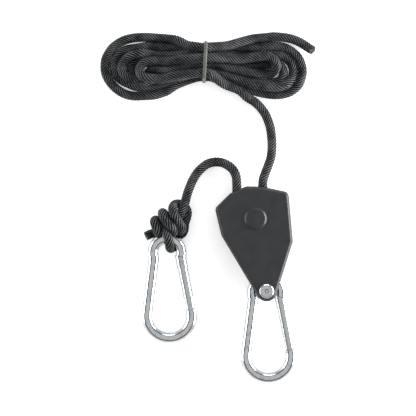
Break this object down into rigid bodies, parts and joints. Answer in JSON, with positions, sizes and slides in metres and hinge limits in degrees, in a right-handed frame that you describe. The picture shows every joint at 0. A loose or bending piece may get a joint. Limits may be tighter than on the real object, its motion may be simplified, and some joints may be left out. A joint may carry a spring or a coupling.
{
  "type": "rope ratchet hanger",
  "caption": "Rope ratchet hanger: a one-way pulley housing on a braided rope, with a spring snap hook at each end and the spare rope tied in a hank.",
  "frame": {"origin": "middle of the footprint of the housing and the two hooks, on the surface that they lie on", "axes": "+Z out of the surface, +Y from the load hook up the housing towards the hank, +X to the right"},
  "size_m": [0.1164, 0.1906, 0.016],
  "materials": {
    "housing_nylon": "satin moulded, black",
    "wheel_nylon": "moulded, black",
    "bronze": "sintered bronze",
    "steel": "plain steel",
    "zinc": "bright zinc plate",
    "rope": "braided polypropylene, black",
    "rope_melt": "melted rope end",
    "tie": "matt, grey"
  },
  "bodies": {
    "housing": {"housing_front": "housing_nylon", "housing_rear": "housing_nylon", "axle": "steel", "pawl_pin": "steel", "pawl_spring": "steel", "rivet": "zinc", "rivet_sleeve": "steel", "rivet_washer": "zinc", "housed_rope": "rope", "short_rope": "rope", "knot": "rope", "hook_loop": "rope", "knot_tail": "rope", "long_rope": "rope", "hank": "rope", "hank_tie": "tie", "rope_tail": "rope", "rope_tip": "rope_melt"},
    "wheel": {"sheave": "wheel_nylon", "bush": "bronze"},
    "pawl": {"pawl": "steel"},
    "load_hook": {"load_hook": "zinc"},
    "load_hook_gate": {"load_hook_gate": "zinc", "load_hook_pivot_pin": "steel", "load_hook_latch_pin": "steel", "load_hook_spring": "steel", "load_hook_plunger": "steel"},
    "rope_hook": {"rope_hook": "zinc"},
    "rope_hook_gate": {"rope_hook_gate": "zinc", "rope_hook_pivot_pin": "steel", "rope_hook_latch_pin": "steel", "rope_hook_spring": "steel", "rope_hook_plunger": "steel"}
  },
  "joints": [
    {"name": "wheel_spin", "type": "hinge", "parent": "housing", "child": "wheel", "pos_m": [0.02, 0.036, 0.008], "axis": [0, 0, 1], "continuous": true},
    {"name": "pawl_release", "type": "hinge", "parent": "housing", "child": "pawl", "pos_m": [0.022, 0.0145, 0.008], "axis": [0, 0, 1], "range_deg": [-12, 0], "stiffness_Nm_per_rad": 0.01, "springref_deg": 22.92, "deforming": ["pawl_spring"]},
    {"name": "load_hook_swing", "type": "hinge", "parent": "housing", "child": "load_hook", "pos_m": [0.026, -0.0031, 0.008], "axis": [0, 0, 1], "range_deg": [-30, 60]},
    {"name": "load_hook_gate_open", "type": "hinge", "parent": "load_hook", "child": "load_hook_gate", "pos_m": [0.03836, -0.03222, 0.00496], "axis": [0.0035, -0.107, 0.9943], "range_deg": [0, 17], "stiffness_Nm_per_rad": 0.04, "springref_deg": -17.19},
    {"name": "rope_hook_swing", "type": "hinge", "parent": "housing", "child": "rope_hook", "pos_m": [-0.02775, 0.01745, 0.0076], "axis": [0.0033, -0.0984, 0.9951], "range_deg": [-15, 15]},
    {"name": "rope_hook_gate_open", "type": "hinge", "parent": "rope_hook", "child": "rope_hook_gate", "pos_m": [-0.01544, -0.01044, 0.0048], "axis": [0.0033, -0.0984, 0.9951], "range_deg": [0, 17], "stiffness_Nm_per_rad": 0.04, "springref_deg": -17.19}
  ]
}
